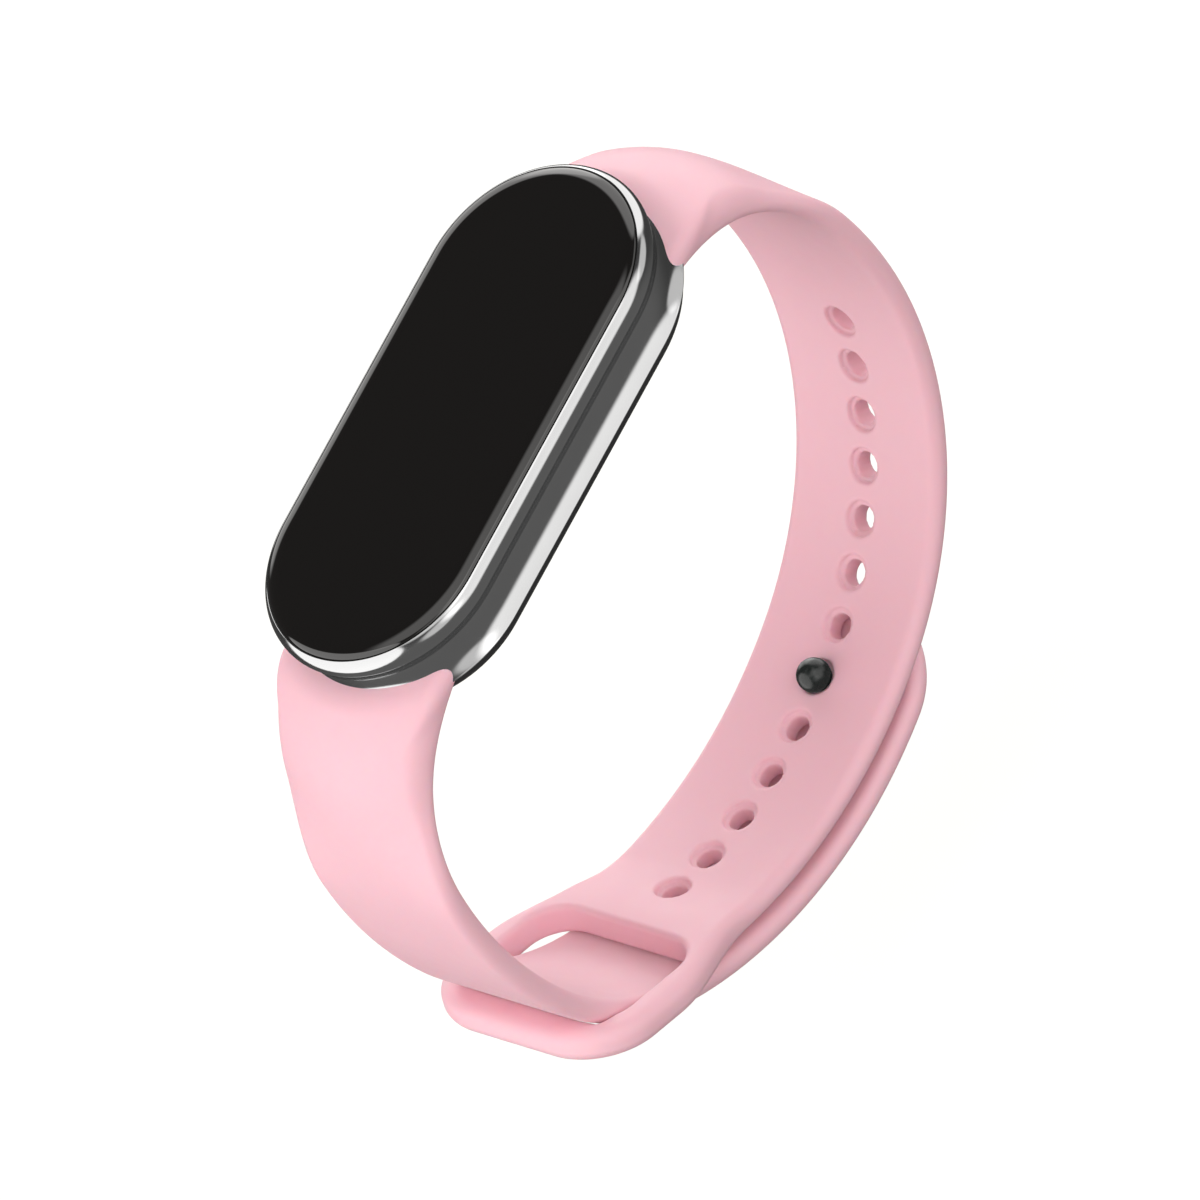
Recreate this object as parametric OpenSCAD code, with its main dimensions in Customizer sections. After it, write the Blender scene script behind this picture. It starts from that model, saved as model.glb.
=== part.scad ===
// Fitness tracker band: a capsule-shaped tracker closed into a ring by a silicone strap in two halves.
// One half ends in a loop and has a row of holes. The other passes through the loop, lies on the outside
// of the first, and is held by a peg that snaps into one of the holes.
//
// Frame: the origin is the middle of the wrist opening. +X runs along the wrist, +Y along the tracker
// towards the half with the holes, and +Z points out of the screen. Sizes are in millimetres.

/* [Tracker] */
// Length of the tracker over its metal frame
tracker_l = 48; // [47.5:0.1:48.5]
// Width of the tracker over its metal frame
tracker_w = 22.5; // [22.3:0.1:22.7]
// Height of the metal frame, from the glass seam to its lower edge
frame_h = 6.15; // [6:0.05:6.3]
// Height of the glass seam above the middle of the wrist opening
seam_z = 32.5; // [32:0.1:33]
// Height of the flat top of the cover glass above the seam
glass_rise = 0.5; // [0.4:0.05:0.7]
// Depth of the flat back cover below the seam
back_z = 8.9; // [8.8:0.05:9.2]
// Depth of the flat sensor window below the seam
window_z = 10.3; // [10:0.1:10.8]

/* [Strap] */
// Width of both strap halves
strap_w = 16; // [15.5:0.1:16.2]
// Thickness of both strap halves
strap_t = 2.1; // [1.9:0.05:2.2]
// Width of a strap half where it meets the tracker
lug_w = 18.6; // [18:0.1:18.8]
// Depth of the strap's upper edge below the seam
lug_top = 4.7; // [4.6:0.05:4.9]
// Number of adjustment holes
hole_n = 13; // [9:1:13]
// Distance between neighbouring holes
hole_pitch = 4.6; // [4.4:0.05:4.7]
// Radius of an adjustment hole
hole_r = 1.1; // [1.05:0.05:1.2]
// Radius of the recess round each hole, on the wrist side
recess_r = 1.5; // [1.45:0.05:1.7]
// Depth of that recess
recess_d = 0.5; // [0.3:0.05:0.6]

/* [Loop] */
// Width of the loop
loop_w = 21.8; // [21.6:0.1:22.4]
// Width of the loop's slot
slot_w = 16.8; // [16.6:0.1:17.6]
// Distance from the end of the strap to the slot
slot_from = 3.4; // [3:0.1:3.8]
// Distance from the end of the strap to the loop's end bar
slot_to = 15.4; // [15:0.1:15.8]
// Width of the loop's end bar
bar_w = 3; // [2.8:0.1:3.4]

/* [Peg] */
// Radius of the peg's round head
head_r = 1.45; // [1.3:0.05:1.45]
// Radius of the peg's shank
shank_r = 0.95; // [0.85:0.05:1]
// Radius of the cap on the outside of the strap
cap_r = 2.3; // [2:0.1:2.6]

/* [Release button] */
// How far a release button travels when it is pressed
press = 0.4; // [0.35:0.05:0.4]
// How far a release button stands out of its housing
button_out = 0.6; // [0.5:0.05:0.6]

/* [Hidden] */

// Smooth curves, and the little gap that parts of one body keep from each other.
$fn = 72;
gap = 0.1;
far = 60;

// The tracker's plan is a stadium: two half circles of this distance from the middle, joined by straights.
end_y = (tracker_l - tracker_w) / 2;
frame_r = tracker_w / 2;

// The frame's side, as distances out from the seam. A round rim stands over a hollow waist, and the
// skirt below flares out to the tracker's full width.
flare = 0.9;
seam_r = frame_r - flare;
rim_r = 1.5;
rim_centre = [seam_r - 0.9, -1.2];
rim_from = 53.1;
rim_to = -34.5;
waist_r = 3.08;
waist_centre = [seam_r + 3, -3.65];
waist_from = 148.7;
waist_to = 226.9;
cavity_r = seam_r - 0.75;
cavity_top = 1.85;
ledge_z = 0.9;
ledge_r = 9.4;
gasket_t = 0.12;

// The strap lies against the ends of the frame in a seat cut under the rim, over this angle each way.
seat_r = seam_r - 0.1;
seat_angle = 54;

// Middle lines of the strap halves in the YZ plane, measured from the seam: where each starts beside the
// tracker, its heading, and its arcs as [radius, sweep]. The peg half is drawn mirrored in Y.
buckle_start = [29.6, -10.9];
buckle_heading = -68.9;
buckle_arcs = [[35.1, -29.2], [30.6, -68.3], [39.8, -41.2]];
peg_start = [29.9, -11.3];
peg_heading = -63.9;
base_arcs = [[38.9, -38.1], [23.7, -41.5], [37.9, -11.6]];
tail_arcs = [[37.9, -33.7], [31.7, -18.4]];
tail_clearance = 0.25;

// The thick end of each half: where its underside starts, and the heading at which its underside
// joins the plain strap.
lug_under = [20.5, -6.9];
lug_back = [18.6, -6.25];
buckle_blend = -84;
peg_blend = -78;

// The peg sits in this hole, counted from the tracker, at these distances along each half.
peg_hole = 8;
peg_hole_at = 57.55;
peg_at = 74.57;
tip_r = strap_w / 2 + 0.1;

// The loop is flat, and thicker than the strap on the wrist side.
loop_in = 1.7;
loop_corner = 6;
slot_corner = 3.2;
shoulder_from = -2.5;
shoulder_to = 9;

// The outer face of a thick strap end would meet the tracker at this depth; its upper edge is cut
// off a little lower, at lug_top, with round corners.
crest_z = 4.15;
lug_corner = 1.6;

// The rigid connector that is moulded into each strap end, and its housing under the tracker.
housing_w = 12;
housing_from = 17.4;
housing_to = 22.9;
housing_top = 6.8;
housing_bottom = 8.5;
socket_from = 17.3;
socket_w = 12.3;
anchor_w = 9;
anchor_from = 23.9;
anchor_to = 25.8;
anchor_z = [-7.6, -5.7];
neck_z = [-7.6, -6.85];
button_w = 6;
button_from = 18.5;
button_to = 22.3;
button_top = 7.6;
pawl_w = 3.6;
pawl_z = [-8, -7.6];
pawl_from = 16.4;
tooth_z = -8.33;
ridge_z = -8.1;

// The back cover's corner, drawn about this centre.
back_corner = 3;
back_centre = [7.7, -back_z + back_corner];
back_r = back_centre[0] + sqrt(pow(back_corner, 2) - pow(-frame_h - 0.15 - back_centre[1], 2));
back_from = asin((-frame_h - 0.15 - back_centre[1]) / back_corner);

// Heights inside the tracker, below the seam.
panel_z = [-1.7, -0.78];
bracket_z = [-2.38, -1.88];
board_z = [-3.2, -2.6];
battery_z = [-7.1, -3.55];
post_z = -4.85;
battery_y = [-15.4, 8.4];
sensor_board_z = [-8.1, -7.6];
sensor_y = 5;
window_r = 6.2;
window_wall = 0.7;
screw_at = [7.4, 17];
contact_at = [3.6, -13.4];
contact_r = 1;

// ---- Shared geometry ----

// A point and heading after an arc that starts at p with heading h.
function arc_end(p, h, r, sweep) = let (side = sign(sweep)) [
    p[0] + side * r * (sin(h + sweep) - sin(h)),
    p[1] - side * r * (cos(h + sweep) - cos(h)),
    h + sweep
];

// Points [y, z, heading] along a chain of arcs, about every 3 degrees.
function chain(p, h, arcs, i = 0) =
    i == len(arcs) ? [[p[0], p[1], h]] :
    let (
        r = arcs[i][0],
        sweep = arcs[i][1],
        steps = ceil(abs(sweep) / 3),
        last = arc_end(p, h, r, sweep)
    )
    concat(
        [for (k = [0:steps - 1]) arc_end(p, h, r, sweep * k / steps)],
        chain(last, last[2], arcs, i + 1)
    );

// The point and heading at a distance s along a chain of arcs.
function along(p, h, arcs, s, i = 0) =
    let (
        r = arcs[i][0],
        sweep = arcs[i][1],
        length = r * abs(sweep) * PI / 180,
        last = arc_end(p, h, r, sweep)
    )
    (s <= length || i == len(arcs) - 1)
        ? arc_end(p, h, r, sign(sweep) * s / r * 180 / PI)
        : along(last, last[2], arcs, s - length, i + 1);

// The line that runs beside a chain, at a distance to its left.
function beside(points, off) = [for (q = points) [q[0] - off * sin(q[2]), q[1] + off * cos(q[2])]];

function reversed(list) = [for (k = [len(list) - 1:-1:0]) list[k]];

// A circular arc from p to q that arrives at q with heading h.
function arc_to(p, q, h, steps = 16) = let (
    d = q - p,
    aim = atan2(d[1], d[0]),
    sweep = 2 * (h - aim),
    r = norm(d) / (2 * sin(abs(sweep) / 2))
)
[for (k = [0:steps]) let (e = arc_end(p, h - sweep, r, sweep * k / steps)) [e[0], e[1]]];

// Points on an arc about a centre.
function arc_about(c, r, from, to, steps = 12) =
    [for (k = [0:steps]) let (a = from + (to - from) * k / steps) [c[0] + r * cos(a), c[1] + r * sin(a)]];

// A slow start and a slow stop between 0 and 1.
function ease(u) = let (v = min(1, max(0, u))) v * v * (3 - 2 * v);

module at_tracker() { translate([0, 0, seam_z]) children(); }

// A closed ring profile or solid profile swept round the tracker's stadium plan.
module stadium_sweep(profile, half = end_y) {
    for (way = [0, 180])
        rotate([0, 0, way]) translate([0, half, 0]) rotate_extrude(angle = 180) polygon(profile);
    for (way = [0, 180])
        rotate([0, 0, way]) rotate([90, 0, 0]) linear_extrude(2 * half, center = true) polygon(profile);
}

// A stadium plate between two heights.
module stadium_plate(r, z, half = end_y) {
    translate([0, 0, z[0]]) linear_extrude(z[1] - z[0]) stadium_shape(r, half);
}

module stadium_shape(r, half) {
    for (side = [-1, 1]) translate([0, side * half]) circle(r);
    square([2 * r, 2 * half], center = true);
}

// A box that is centred in X.
module slab(w, y, z) {
    translate([-w / 2, y[0], z[0]]) cube([w, y[1] - y[0], z[1] - z[0]]);
}

// A shape drawn in the YZ plane and given a width in X.
module across(w) { rotate([90, 0, 90]) linear_extrude(w, center = true) children(); }

module round_rect(w, y0, y1, r) {
    translate([-w / 2 + r, y0]) square([w - 2 * r, y1 - y0]);
    translate([-w / 2, y0 + r]) square([w, y1 - y0 - 2 * r]);
    for (x = [-w / 2 + r, w / 2 - r], y = [y0 + r, y1 - r]) translate([x, y]) circle(r);
}

// ---- Tracker: screen and frame ----

module cover_glass() {
    r = seam_r - gasket_t;
    flat_r = 8.9;
    edge_z = -0.15;
    at_tracker() color("#15161a") stadium_sweep(concat(
        [[0, -0.75], [r, -0.75]],
        [for (k = [0:6]) let (a = 90 * k / 6)
            [flat_r + (r - flat_r) * cos(a), edge_z + (glass_rise - edge_z) * sin(a)]],
        [[0, glass_rise]]
    ));
}

module glass_gasket() {
    at_tracker() color("#050505") stadium_sweep([
        [ledge_r, -ledge_z], [seam_r, -ledge_z], [seam_r, 0], [seam_r - gasket_t, -0.03],
        [seam_r - gasket_t, -0.75], [ledge_r, -0.75]
    ]);
}

module display_panel() {
    at_tracker() color("#0a0a0c") difference() {
        stadium_plate(9.2, panel_z);
        // The driver edge is cut back where the flex leaves the panel.
        slab(8, [-23, -21.2], [-2, -1.35]);
    }
}

module display_flex() {
    // A ribbon that folds down from the panel's end to the underside of the board.
    fold = [-20.2, -2.56];
    at_tracker() color("#c8752d") across(6.4) polygon(concat(
        [[-15.5, -3.35]],
        reversed(arc_about(fold, 0.79, 90, 270)),
        [[-19.9, -1.77], [-19.9, -1.89]],
        arc_about(fold, 0.67, 90, 270),
        [[-15.5, -3.23]]
    ));
}

function frame_side() = concat(
    arc_about(rim_centre, rim_r, rim_from, rim_to),
    arc_about(waist_centre, waist_r, waist_from, waist_to, 14),
    [[frame_r, -frame_h + 0.15], [frame_r - 0.15, -frame_h]]
);

module mid_frame() {
    at_tracker() color("#8f9296") {
        difference() {
            stadium_sweep(concat(
                [[cavity_r, -frame_h], [cavity_r, -cavity_top], [ledge_r, -cavity_top],
                 [ledge_r, -ledge_z], [seam_r, -ledge_z], [seam_r, 0]],
                frame_side()
            ));
            for (way = [0, 180]) rotate([0, 0, way]) strap_seat();
        }
        for (x = [-1, 1], y = [-1, 1]) frame_post(x, y);
    }
}

// The room at one end of the frame for the strap's upper edge.
module strap_seat() {
    translate([0, end_y, 0]) rotate([0, 0, 90 - seat_angle]) rotate_extrude(angle = 2 * seat_angle)
        translate([seat_r, -frame_h - 1]) square([3, frame_h + 1 - lug_top + gap]);
}

// A threaded post that holds one bracket screw. It stands off the frame's inner wall.
module frame_post(x, y) {
    h = board_z[0] - 0.02 - post_z;
    difference() {
        union() {
            translate([x * screw_at[0], y * screw_at[1], post_z]) cylinder(r = 1.15, h = h);
            translate([x * (screw_at[0] + 0.7), y * (screw_at[1] + 0.35), post_z + h / 2])
                rotate([0, 0, x * y * 26]) cube([1.5, 1.2, h], center = true);
        }
        translate([x * screw_at[0], y * screw_at[1], post_z + 0.15]) cylinder(r = 0.42, h = 5);
    }
}

module inner_bracket() {
    at_tracker() color("#5c6066") difference() {
        stadium_plate(9.45, bracket_z);
        // Windows that save weight, the path of the display flex, and the screw seats.
        for (y = [-9.5, 0, 9.5]) slab(11, [y - 3.4, y + 3.4], [-3, -1]);
        slab(7.2, [-23, -17.4], [-3, -1]);
        for (x = [-1, 1], y = [-1, 1]) translate([x * screw_at[0], y * screw_at[1], 0]) {
            translate([0, 0, -3]) cylinder(r = 0.55, h = 2);
            translate([0, 0, bracket_z[1] - 0.3]) cylinder(r = 0.95, h = 1);
        }
    }
}

module bracket_screws() {
    at_tracker() color("#b9bcc0") for (x = [-1, 1], y = [-1, 1])
        translate([x * screw_at[0], y * screw_at[1], 0]) difference() {
            union() {
                translate([0, 0, bracket_z[1] - 0.3]) cylinder(r = 0.9, h = 0.28);
                translate([0, 0, -4.6]) cylinder(r = 0.4, h = 4.6 + bracket_z[1] - 0.3);
            }
            // Cross recess in the head.
            for (a = [0, 90]) rotate([0, 0, a]) slab(0.9, [-0.1, 0.1], [bracket_z[1] - 0.15, 0]);
        }
}

// ---- Tracker: electronics ----

module main_board() {
    at_tracker() color("#1f5c3a") difference() {
        stadium_plate(9.3, board_z);
        for (x = [-1, 1], y = [-1, 1])
            translate([x * screw_at[0], y * screw_at[1], -4]) cylinder(r = 0.5, h = 2);
        // Notch for the display flex as it folds round the board's end.
        slab(7, [-23, -19], [-4, -2]);
        // Notch for the vibration motor's leads.
        slab(2.4, [21, 23], [-4, -2]);
    }
}

module board_chips() {
    at_tracker() color("#23252a") {
        for (c = [[-4.6, -12.2, 3], [0.4, -11.6, 4.2], [5, -12.4, 2.4]])
            translate([c[0] - c[2] / 2, c[1] - c[2] / 2, board_z[1]]) cube([c[2], c[2], 0.2]);
        translate([-6.6, 11.6, board_z[1]]) cube([2.6, 3.4, 0.2]);
    }
}

module chip_shield() {
    // A folded metal can over the radio and the processor, on the underside of the board.
    y = [9.2, 18.6];
    z = [-4.25, board_z[0]];
    at_tracker() color("#c9ccd0") difference() {
        slab(11, y, z);
        slab(10.6, [y[0] + 0.2, y[1] - 0.2], [z[0] + 0.2, z[1] + 1]);
        for (i = [-2:2]) translate([i * 2, y[0] + 1.6, z[0] - 1]) cylinder(r = 0.35, h = 2);
    }
}

module antenna_strip() {
    at_tracker() color("#d7b56d") translate([0, end_y, 0]) rotate([0, 0, 45])
        rotate_extrude(angle = 90) translate([cavity_r - 0.25, -4.9]) square([0.2, 1.5]);
}

module battery() {
    at_tracker() color("#c7cbd1") {
        difference() {
            slab(14.8, battery_y, battery_z);
            // The folded side seams of the pouch.
            for (x = [-1, 1]) translate([x * 7.4, 0, -5.4])
                cube([0.8, 60, 1.2], center = true);
        }
        slab(12, [battery_y[1], battery_y[1] + 0.7], [-5.6, -5.1]);
    }
}

module battery_flex() {
    at_tracker() color("#c8752d") across(3) polygon([
        [8.5, -4.9], [9.0, -4.9], [9.0, -3.3], [8.6, -3.3], [8.6, -4.78], [8.5, -4.78]
    ]);
}

module vibration_motor() {
    at_tracker() color("#d2d4d7") {
        translate([0, 13.6, -6.15]) cylinder(r = 3.6, h = 1.8);
        translate([0, 13.6, -6.25]) cylinder(r = 1, h = 0.1);
        slab(2, [17.1, 19.4], [-6.1, -5.9]);
    }
}

module sensor_board() {
    at_tracker() color("#174a30") stadium_plate(5.2, sensor_board_z, sensor_y - 0.4);
}

module sensor_leds() {
    at_tracker() color("#7fe08a")
        for (y = [-3.4, 3.4]) slab(1.7, [y - 0.85, y + 0.85], [-8.75, sensor_board_z[0]]);
}

module photodiodes() {
    at_tracker() color("#39424d") {
        slab(3, [-1.3, 1.3], [-8.6, sensor_board_z[0]]);
        for (y = [-7, 7]) slab(2.6, [y - 1.1, y + 1.1], [-8.6, sensor_board_z[0]]);
    }
}

module light_barrier() {
    // A black frame with a cell for each lamp and each light sensor.
    at_tracker() color("#0c0c0d") difference() {
        stadium_plate(window_r - window_wall - gap, [-9.5, sensor_board_z[0] - 0.05], sensor_y);
        for (y = [-3.4, 3.4]) slab(2.2, [y - 1.1, y + 1.1], [-far, 0]);
        slab(3.6, [-1.6, 1.6], [-far, 0]);
        for (y = [-7, 7]) slab(3.2, [y - 1.4, y + 1.4], [-far, 0]);
    }
}

module sensor_window() {
    // A clear cup that stands out of the back cover, with a flange that seals inside it.
    at_tracker() color("#202326") difference() {
        union() {
            stadium_sweep([
                [0, -window_z], [window_r - 1, -window_z], [window_r - 0.3, -window_z + 0.25],
                [window_r, -window_z + 0.9], [window_r, -8.2], [0, -8.2]
            ], sensor_y);
            stadium_plate(window_r + 0.7, [-8.45, -8.2], sensor_y);
        }
        stadium_plate(window_r - window_wall, [-9.6, 0], sensor_y);
    }
}

// ---- Tracker: back ----

module rear_gasket() {
    at_tracker() color("#3a3a3c") stadium_sweep([
        [9.05, -frame_h + 0.75], [9.35, -frame_h + 0.75], [9.35, -frame_h + 1.15], [9.05, -frame_h + 1.15]
    ]);
}

// The back's outer surface, from the frame's lower edge to the flat.
function back_side() = concat([[back_r, -frame_h]], arc_about(back_centre, back_corner, back_from, -90, 9));

module rear_cover() {
    wall = 0.75;
    at_tracker() color("#2a2b2e") difference() {
        union() {
            stadium_sweep(concat([[0, -frame_h]], back_side(), [[0, -back_z]]));
            // Lip that locates the cover inside the frame.
            stadium_plate(9.5, [-frame_h - 0.1, -frame_h + 0.7]);
        }
        // Hollow for the sensors, the battery over them, and the wide shallow part inside the lip.
        stadium_plate(8.3, [-8.15, 0], 6.6);
        slab(15.2, [-15.7, 15.7], [-7.45, 0]);
        stadium_plate(8.6, [-frame_h - 0.15, 0]);
        // Seat of the sensor window.
        stadium_plate(window_r + 0.02, [-far, 0], sensor_y);
        stadium_plate(window_r + 0.72, [-8.45, 0], sensor_y);
        // Bores of the charging contacts.
        for (x = [-1, 1]) translate([x * contact_at[0], contact_at[1], -12]) 
            cylinder(r = contact_r + 0.03, h = 12);
        for (way = [0, 180]) rotate([0, 0, way]) connector_socket();
    }
}

// The room at one end of the back for the strap's connector and the tooth of its pawl.
module connector_socket() {
    slab(socket_w, [socket_from, far], [-far, -housing_top + gap]);
    // A pocket for the pawl's tooth, and the slot over the ridge that the tooth catches behind.
    slab(pawl_w + 0.5, [16.2, 16.95], [-8.43, -housing_top + gap]);
    slab(pawl_w + 0.5, [16.2, socket_from + 1], [ridge_z, -housing_top + gap]);
}

module charging_contacts() {
    at_tracker() color("#cfd1d4") for (x = [-1, 1]) translate([x * contact_at[0], contact_at[1], 0]) {
        translate([0, 0, -back_z - 0.12]) cylinder(r = contact_r, h = back_z + 0.12 - 7.3);
        translate([0, 0, -7.42]) cylinder(r = contact_r + 0.35, h = 0.2);
    }
}

// ---- Strap connectors and release buttons, drawn at the +Y end ----

module strap_connector() {
    z = [-housing_bottom, -housing_top];
    difference() {
        union() {
            slab(housing_w, [housing_from, housing_to], z);
            // Neck and anchor plate, inside the silicone.
            slab(anchor_w, [housing_to - 0.5, anchor_to], neck_z);
            slab(anchor_w, [anchor_from, anchor_to], anchor_z);
        }
        // Well of the button, with a floor that the button's flange rests on.
        slab(button_w + 0.3, [button_from - 0.15, button_to + 0.15], [-far, -housing_top - 0.3]);
        // Slot that the pawl reaches through.
        slab(pawl_w + 0.3, [housing_from - 1, button_from], [pawl_z[0] - 0.15, -housing_top - 0.3]);
        // Holes that lock the anchor in the silicone.
        for (x = [-3, 0, 3]) translate([x, (anchor_from + anchor_to) / 2, -far]) cylinder(r = 0.5, h = far);
    }
}

module release_button() {
    bottom = -housing_bottom - button_out;
    difference() {
        union() {
            slab(button_w, [button_from, button_to], [bottom, -button_top]);
            // Pawl, and the tooth at its tip.
            slab(pawl_w, [pawl_from, button_from + 1], pawl_z);
            slab(pawl_w, [pawl_from, pawl_from + 0.45], [tooth_z, pawl_z[1]]);
        }
        // Grip grooves.
        for (i = [-2:2]) translate([0, (button_from + button_to) / 2 + i * 0.6, bottom])
            rotate([0, 90, 0]) cylinder(r = 0.13, h = button_w - 1.6, center = true);
    }
}

module button_spring() {
    // A bowed leaf spring between the housing's roof and the button.
    low = -button_top + 0.01;
    rise = button_top - housing_top - 0.3 - 0.16;
    steps = 10;
    bow = [for (k = [0:steps]) let (u = -1 + 2 * k / steps) [2.4 * u, low + rise * (1 - u * u)]];
    translate([0, (button_from + button_to) / 2, 0]) rotate([90, 0, 0])
        linear_extrude(2.2, center = true)
            polygon(concat(bow, [for (q = reversed(bow)) [q[0], q[1] + 0.14]]));
}

module strap_connector_upper() { at_tracker() color("#3b3d41") strap_connector(); }
module strap_connector_lower() { at_tracker() color("#3b3d41") mirror([0, 1, 0]) strap_connector(); }
module release_button_upper() { at_tracker() color("#55585d") release_button(); }
module release_button_lower() { at_tracker() color("#55585d") mirror([0, 1, 0]) release_button(); }
module button_spring_upper() { at_tracker() color("#b9bcc0") button_spring(); }
module button_spring_lower() { at_tracker() color("#b9bcc0") mirror([0, 1, 0]) button_spring(); }

// ---- Strap ----

// One strap half in the YZ plane: the thick end at the tracker, then the plain strip along its arcs.
module strap_side(start, heading, arcs, blend) {
    t = strap_t / 2;
    path = chain(start, heading, arcs);
    top = beside(path, t);
    bottom = [for (q = path) if (q[2] <= blend) q];
    under = arc_to(lug_under, lug_join(start, heading, arcs, blend), blend);
    polygon(concat(
        [lug_back, [lug_back[0], -crest_z]],
        arc_to([end_y + lug_r(), -crest_z], top[0], heading),
        [for (k = [1:len(top) - 1]) top[k]],
        reversed(beside(bottom, -t)),
        reversed(under)
    ));
}

// Radius of the strap's upper edge round the tracker's end, and where a half's underside becomes plain.
function lug_r() = frame_r - 0.15;
function lug_join(start, heading, arcs, blend) =
    let (
        s = (heading - blend) * PI / 180 * arcs[0][0],
        q = along(start, heading, arcs, s)
    )
    [q[0] + strap_t / 2 * sin(q[2]), q[1] - strap_t / 2 * cos(q[2])];

// The thick end is round about the tracker's end, so that its corners fall away from the middle.
module corner_cutter(start, heading, arcs) {
    top = beside([[start[0], start[1], heading]], strap_t / 2)[0];
    outline = arc_to([lug_r(), -crest_z], [top[0] - end_y, top[1]], heading, 10);
    path = beside(chain(start, heading, [[arcs[0][0], -16]]), strap_t / 2);
    last = len(path) - 1;
    // Below, it leaves the strap's surface slowly, until the strap is flat across.
    release = [for (k = [1:last]) [path[k][0] - end_y + 1.9 * ease(k / last), path[k][1]]];
    translate([0, end_y, 0]) rotate_extrude() polygon(concat(
        [[lug_r(), 0]], outline, release, [[far, path[last][1]], [far, 0]]
    ));
}

// What one half may fill, seen along Y: the wide end narrows in a hollow curve to the plain width.
module width_limit() {
    narrow_from = -lug_top - lug_corner;
    narrow_to = -11.5;
    wide = lug_w / 2 - 0.6;
    side = [for (k = [1:8]) let (u = k / 8)
        [strap_w / 2 + (wide - strap_w / 2) * pow(1 - u, 2), narrow_from + (narrow_to - narrow_from) * u]];
    corner = arc_about([wide - lug_corner, narrow_from], lug_corner, 90, 0, 6);
    right = concat(corner, side, [[strap_w / 2, -far - 20]]);
    rotate([90, 0, 0]) linear_extrude(4 * far, center = true)
        polygon(concat(right, [for (q = reversed(right)) [-q[0], q[1]]]));
}

// The tracker's own room, with a little clearance, and the connector's, which are cut from a strap end.
module tracker_room() {
    stadium_sweep(concat(
        [[0, 1], [seat_r + gap, 1], [seat_r + gap, -frame_h + gap], [back_r + gap, -frame_h + gap]],
        arc_about(back_centre, back_corner + gap, back_from, -90, 9),
        [[0, -back_z - gap]]
    ));
}

module connector_room() {
    slab(housing_w, [housing_from - 2, housing_to], [-far / 2, -housing_top + gap]);
    slab(anchor_w, [housing_to - 0.5, anchor_to], neck_z);
    slab(anchor_w, [anchor_from, anchor_to], anchor_z);
}

module strap_half(start, heading, arcs, blend) {
    difference() {
        intersection() {
            across(2 * lug_w) strap_side(start, heading, arcs, blend);
            width_limit();
        }
        corner_cutter(start, heading, arcs);
        tracker_room();
        connector_room();
    }
}

// The place at a distance s along a strap: local Y runs on along it and local Z points outwards.
module on_path(start, heading, arcs, s) {
    q = along(start, heading, arcs, s);
    translate([0, q[0], q[1]]) rotate([q[2], 0, 0]) children();
}

module on_buckle(s) { on_path(buckle_start, buckle_heading, buckle_arcs, s) children(); }
module on_peg_half(s) { on_path(peg_start, peg_heading, concat(base_arcs, tail_arcs), s) children(); }

function arcs_length(arcs) = [for (a = arcs) a[0] * abs(a[1]) * PI / 180];
function total(list, i = 0) = i == len(list) ? 0 : list[i] + total(list, i + 1);
buckle_length = total(arcs_length(buckle_arcs));
base_length = total(arcs_length(base_arcs));
tail_length = total(arcs_length(tail_arcs));

module buckle_strap() {
    at_tracker() color("#fdd0d7") difference() {
        union() {
            strap_half(buckle_start, buckle_heading, buckle_arcs, buckle_blend);
            difference() {
                on_buckle(buckle_length) loop();
                mirror([0, 1, 0]) peg_strap_room();
            }
        }
        for (i = [1:hole_n]) on_buckle(peg_hole_at + (i - peg_hole) * hole_pitch) adjustment_hole();
    }
}

module adjustment_hole() {
    cylinder(r = hole_r, h = 2 * strap_t, center = true);
    translate([0, 0, -strap_t / 2 - 1]) cylinder(r = recess_r, h = 1 + recess_d);
}

module loop() {
    end = slot_to + bar_w;
    // The pad swells to the loop's width before the slot.
    steps = 10;
    side = [for (k = [0:steps]) let (u = k / steps) [
        strap_w / 2 + (loop_w - strap_w) / 2 * ease(u),
        shoulder_from + (shoulder_to - shoulder_from) * u
    ]];
    corner = arc_about([loop_w / 2 - loop_corner, end - loop_corner], loop_corner, 0, 90, 8);
    right = concat([[strap_w / 2 - 0.05, -5]], side, corner);
    t = strap_t / 2;
    // Seen from the side, it grows out of the strap and thickens on the wrist side.
    intersection() {
        translate([0, 0, -5]) linear_extrude(10) difference() {
            polygon(concat(right, [for (q = reversed(right)) [-q[0], q[1]]]));
            round_rect(slot_w, slot_from, slot_to, slot_corner);
        }
        across(2 * loop_w) polygon([
            [-5, -t - 0.25], [-2.5, -t - 0.3], [0, -loop_in + 0.1], [2, -loop_in],
            [end + 1, -loop_in], [end + 1, t], [0, t], [-2.5, t - 0.1], [-5, t - 0.35]
        ]);
    }
}

// The passage that the loop leaves round the peg half.
module peg_strap_room() {
    path = chain(peg_start, peg_heading, concat(base_arcs, tail_arcs));
    t = strap_t / 2 + 0.2;
    across(strap_w + 0.8) polygon(concat(beside(path, t), reversed(beside(path, -t))));
}

module peg_strap_base() {
    at_tracker() mirror([0, 1, 0]) color("#fdd0d7") difference() {
        strap_half(peg_start, peg_heading, base_arcs, peg_blend);
        // Hollow that the tail's round root turns in.
        on_peg_half(base_length) rotate([0, 90, 0])
            cylinder(r = strap_t / 2 + tail_clearance, h = 2 * strap_w, center = true);
    }
}

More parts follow.
